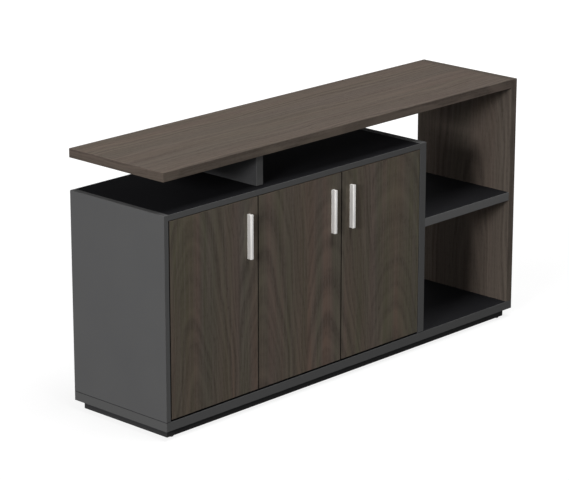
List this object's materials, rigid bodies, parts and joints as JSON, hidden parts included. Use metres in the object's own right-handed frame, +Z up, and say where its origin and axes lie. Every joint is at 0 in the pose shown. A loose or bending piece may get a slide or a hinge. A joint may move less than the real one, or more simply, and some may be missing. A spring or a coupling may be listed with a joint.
{
  "type": "office credenza",
  "caption": "Low office cupboard with flush hinged doors, an open shelf bay beside it and a worktop raised on a riser above an open slot, ending in a full-height side panel.",
  "frame": {"origin": "on the floor under the middle of the carcass, at the foot of the centre glide", "axes": "+X along the front towards the open bay, +Y from front to back, +Z up"},
  "size_m": [1.6, 0.417, 0.818],
  "materials": {
    "dark_oak": "dark oak laminate, matt, lengthwise grain",
    "anthracite": "anthracite melamine on chipboard, matt",
    "plinth": "near-black laminate, matt",
    "pull": "satin anodised",
    "fitting": "nickel plated",
    "glide": "black nylon"
  },
  "bodies": {
    "carcass": {"top_slab": "dark_oak", "right_end_panel": "dark_oak", "bottom_panel": "anthracite", "left_side_panel": "anthracite", "right_divider": "anthracite", "cabinet_top": "anthracite", "middle_divider": "anthracite", "cabinet_back": "anthracite", "riser_panel": "anthracite", "bay_shelf": "anthracite", "left_inner_shelf": "anthracite", "right_inner_shelf": "anthracite", "plinth_front": "plinth", "plinth_rear": "plinth", "plinth_left": "plinth", "plinth_right": "plinth", "plinth_brace": "plinth", "glide_front_left": "glide", "glide_front_right": "glide", "glide_rear_left": "glide", "glide_rear_right": "glide", "glide_centre": "glide", "left_shelf_pin_front_left": "fitting", "left_shelf_pin_rear_left": "fitting", "left_shelf_pin_front_right": "fitting", "left_shelf_pin_rear_right": "fitting", "right_shelf_pin_front_left": "fitting", "right_shelf_pin_rear_left": "fitting", "right_shelf_pin_front_right": "fitting", "right_shelf_pin_rear_right": "fitting", "hinge_arm_left_lower": "fitting", "hinge_arm_left_upper": "fitting", "hinge_arm_middle_lower": "fitting", "hinge_arm_middle_upper": "fitting", "hinge_arm_right_lower": "fitting", "hinge_arm_right_upper": "fitting"},
    "left_leaf": {"door_left": "dark_oak", "handle_left": "pull", "handle_left_screw_lower": "fitting", "handle_left_screw_upper": "fitting", "hinge_cup_left_lower": "fitting", "hinge_cup_left_upper": "fitting"},
    "left_links": {"hinge_link_left_lower": "fitting", "hinge_link_left_upper": "fitting"},
    "middle_leaf": {"door_middle": "dark_oak", "handle_middle": "pull", "handle_middle_screw_lower": "fitting", "handle_middle_screw_upper": "fitting", "hinge_cup_middle_lower": "fitting", "hinge_cup_middle_upper": "fitting"},
    "middle_links": {"hinge_link_middle_lower": "fitting", "hinge_link_middle_upper": "fitting"},
    "right_leaf": {"door_right": "dark_oak", "handle_right": "pull", "handle_right_screw_lower": "fitting", "handle_right_screw_upper": "fitting", "hinge_cup_right_lower": "fitting", "hinge_cup_right_upper": "fitting"},
    "right_links": {"hinge_link_right_lower": "fitting", "hinge_link_right_upper": "fitting"}
  },
  "joints": [
    {"name": "left_door_swing", "type": "hinge", "parent": "carcass", "child": "left_leaf", "pos_m": [-0.7685, -0.1935, 0.367], "axis": [0, 0, -1], "range_deg": [0, 100]},
    {"name": "left_links_turn", "type": "hinge", "parent": "carcass", "child": "left_links", "pos_m": [-0.7458, -0.1831, 0.367], "axis": [0, 0, 1], "range_deg": [0, 23.3]},
    {"name": "middle_door_swing", "type": "hinge", "parent": "carcass", "child": "middle_leaf", "pos_m": [-0.4015, -0.1935, 0.367], "axis": [0, 0, -1], "range_deg": [0, 100]},
    {"name": "middle_links_turn", "type": "hinge", "parent": "carcass", "child": "middle_links", "pos_m": [-0.3788, -0.1831, 0.367], "axis": [0, 0, 1], "range_deg": [0, 23.3]},
    {"name": "right_door_swing", "type": "hinge", "parent": "carcass", "child": "right_leaf", "pos_m": [0.3085, -0.1935, 0.367], "axis": [0, 0, 1], "range_deg": [0, 100]},
    {"name": "right_links_turn", "type": "hinge", "parent": "carcass", "child": "right_links", "pos_m": [0.2858, -0.1831, 0.367], "axis": [0, 0, -1], "range_deg": [0, 23.3]}
  ],
  "couplings": [
    {"joint": "left_links_turn", "follows": "left_door_swing", "ratio": 0.232},
    {"joint": "middle_links_turn", "follows": "middle_door_swing", "ratio": 0.232},
    {"joint": "right_links_turn", "follows": "right_door_swing", "ratio": 0.232}
  ]
}
